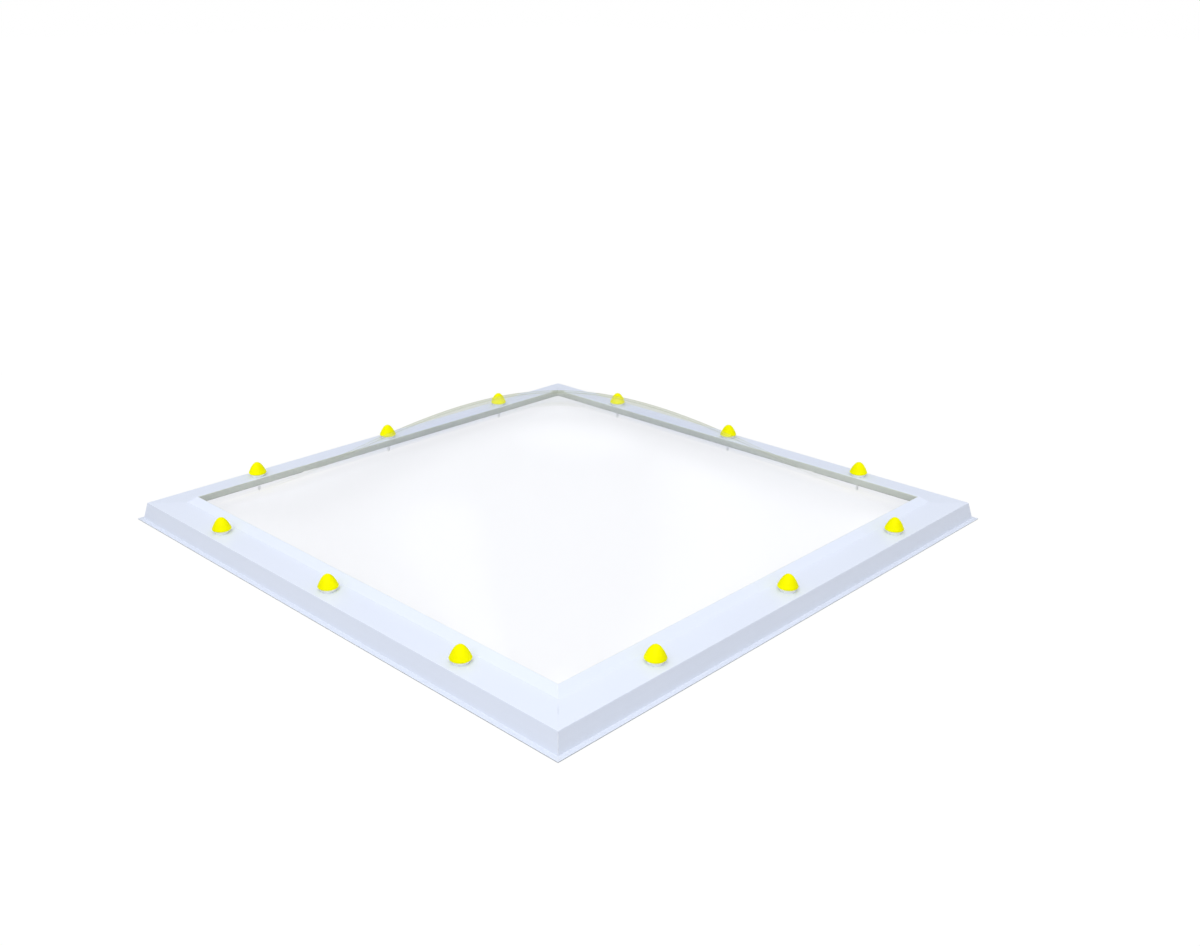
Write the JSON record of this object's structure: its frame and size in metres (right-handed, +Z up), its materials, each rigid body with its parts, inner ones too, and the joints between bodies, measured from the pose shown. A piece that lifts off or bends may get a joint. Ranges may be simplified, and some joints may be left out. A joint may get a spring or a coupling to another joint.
{
  "type": "roof skylight",
  "caption": "Fixed square domed skylight: blown clear sheet clamped by a mitred white capping frame, with screw caps, gaskets and a seal for a roof kerb.",
  "frame": {"origin": "middle of the square frame, level with the underside of the drip lip", "axes": "+Z up through the crown of the dome, X and Y along the rails; the rail on the -Y side is the front one"},
  "size_m": [1.0284, 1.0284, 0.2053],
  "materials": {
    "frame_paint": "satin powder coat",
    "key_metal": "plain stamped sheet",
    "clear_sheet": "clear blown plastic sheet",
    "gasket_rubber": "pale soft profile, matt",
    "washer_rubber": "pale soft washer, matt",
    "seal_foam": "white closed-cell foam",
    "liner_rubber": "grey soft strip, matt",
    "base_plastic": "moulded",
    "screw_steel": "zinc plated",
    "cap_plastic": "moulded"
  },
  "bodies": {
    "root": {"rail_front": "frame_paint", "rail_right": "frame_paint", "rail_back": "frame_paint", "rail_left": "frame_paint", "corner_key_front_right": "key_metal", "corner_key_back_right": "key_metal", "corner_key_back_left": "key_metal", "corner_key_front_left": "key_metal", "dome": "clear_sheet", "inner_gasket_front": "gasket_rubber", "inner_gasket_right": "gasket_rubber", "inner_gasket_back": "gasket_rubber", "inner_gasket_left": "gasket_rubber", "outer_gasket_front": "gasket_rubber", "outer_gasket_right": "gasket_rubber", "outer_gasket_back": "gasket_rubber", "outer_gasket_left": "gasket_rubber", "kerb_seal_front": "seal_foam", "kerb_seal_right": "seal_foam", "kerb_seal_back": "seal_foam", "kerb_seal_left": "seal_foam", "nose_liner_front": "liner_rubber", "nose_liner_right": "liner_rubber", "nose_liner_back": "liner_rubber", "nose_liner_left": "liner_rubber", "sealing_washers": "washer_rubber", "cap_bases": "base_plastic", "fixing_screws": "screw_steel", "screw_caps": "cap_plastic"}
  },
  "joints": []
}
